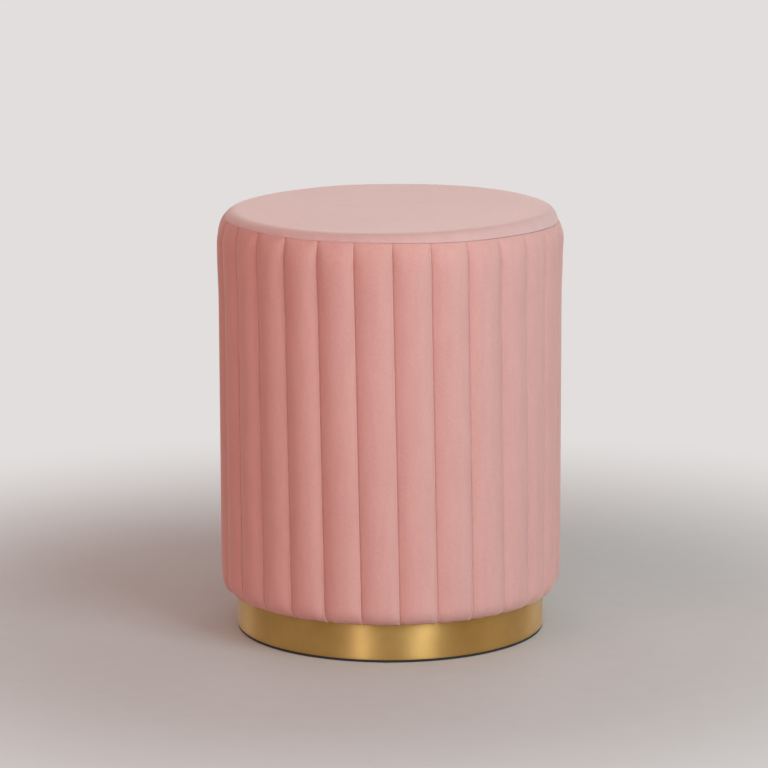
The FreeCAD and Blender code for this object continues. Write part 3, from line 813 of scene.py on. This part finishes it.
def studio():
    """An even pale room with soft lamps."""
    floor()
    world = bpy.data.worlds.new("room")
    bpy.context.scene.world = world
    world.use_nodes = True
    tree = world.node_tree
    seen = tree.nodes.new("ShaderNodeBackground")
    seen.inputs["Color"].default_value = BACKDROP
    seen.inputs["Strength"].default_value = 1.0
    room = tree.nodes["Background"]
    room.inputs["Color"].default_value = ROOM_COLOUR
    room.inputs["Strength"].default_value = ROOM_STRENGTH
    mix = tree.nodes.new("ShaderNodeMixShader")
    tree.links.new(seen_directly(tree), mix.inputs[0])
    tree.links.new(room.outputs[0], mix.inputs[1])
    tree.links.new(seen.outputs[0], mix.inputs[2])
    tree.links.new(mix.outputs[0], tree.nodes["World Output"].inputs["Surface"])
    lamp("key", 42, 26, 58, (0.73, 0.98, 1.0), "dull")
    lamp("front", 4, 20, 16, (1.0, 0.90, 0.94), "dull")
    lamp("side", 88, 28, 6)
    lamp("fill", -42, 22, 22, (1.0, 0.34, 0.25), "dull")
    lamp("back_right", 152, 26, 11)
    lamp("back_left", -152, 26, 11, (1.0, 0.92, 0.90))
    lamp("above", 0, 80, 4)
    lamp("rim_right", 132, 14, 7, on="shine", distance=2.6, width=1.0)
    lamp("rim_left", -128, 14, 6, on="shine", distance=2.6, width=1.0)
    lamp("strip_right", 25, 26, 48, (0.72, 0.84, 1.0), "shine", width=0.70, height=1.8)
    lamp("strip_left", -22, 26, 34, (0.77, 0.82, 1.0), "shine", width=0.25, height=1.8)


def camera():
    """The photograph's camera: place, pitch, roll and lens."""
    place, pitch, roll = Vector((-0.00612, -4.0683, 1.0948)), math.radians(11.7055), math.radians(-0.15)
    focal_pixels, image_width, sensor = 4050.1, 768, 36.0
    data = bpy.data.cameras.new("camera")
    data.sensor_width = sensor
    data.lens = focal_pixels * sensor / image_width
    data.clip_start, data.clip_end = 0.05, 100
    made = bpy.data.objects.new("camera", data)
    bpy.context.scene.collection.objects.link(made)
    made.matrix_world = (Matrix.Translation(place) @ Matrix.Rotation(math.pi / 2 - pitch, 4, "X")
                         @ Matrix.Rotation(roll, 4, "Z"))
    bpy.context.scene.camera = made


# Putting the stool together


def dress(piece, material, slot=None, *nodes):
    """Gives a piece its material and body, and where given hides the nodes that it stands for. The slot is
    not used.
    """
    piece.data.materials.append(material)
    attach(piece, "root")
    if nodes:
        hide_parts(*nodes)
    return piece


side, side_face = velvet_side()
side_velvet = velvet("blush_velvet_side", dark=paint(201, 149, 143), pale=paint(213, 163, 157), sheen=0.50,
                     bloom=paint(255, 228, 222), with_seams=True)
dress(side, side_velvet, "velvet", "side_cover", "channel_wadding", "side_foam")
# The top is the side's velvet with a paler base colour: painted light that stands in for the brighter light
# and sheen that fall on the top.
top_velvet_painted_paler = velvet("blush_velvet_top_painted_paler", dark=paint(200, 159, 156), pale=paint(212, 173, 170), sheen=0.55,
                    bloom=paint(255, 242, 240), bloom_spread=0.45)
top = dress(velvet_top(), top_velvet_painted_paler, "velvet", "top_panel_cover", "seat_wadding", "seat_foam")
dress(channel_stitches(side_face), thread())
dress(brass_band(), brushed_brass(), "brass_sheet", "plinth_band")
spun = black_cloth()
cloth = dress(underside_cloth(), spun, "black_cloth", "dust_cover")
strip = dress(hem_strip(), spun, "black_cloth", "pull_strip")

CARRIED_OVER = {
    "black_rubber": black_rubber(),
    "plywood": wood("plywood", paint(226, 200, 160), paint(176, 140, 96), ply=0.0017),
    "hardboard": wood("hardboard", paint(140, 104, 74), paint(112, 80, 54)),
    "softwood": wood("softwood", paint(232, 206, 160), paint(204, 160, 108)),
    "plated_steel": plated_steel(),
}
for part in frame["record"]["subparts"]:
    node = frame["nodes"][part["node"]]
    if part["material_slot"] in CARRIED_OVER and not node.hide_render:
        for slot in node.material_slots:
            slot.material = CARRIED_OVER[part["material_slot"]]

studio()
camera()
bpy.context.scene.view_settings.view_transform = "Standard"
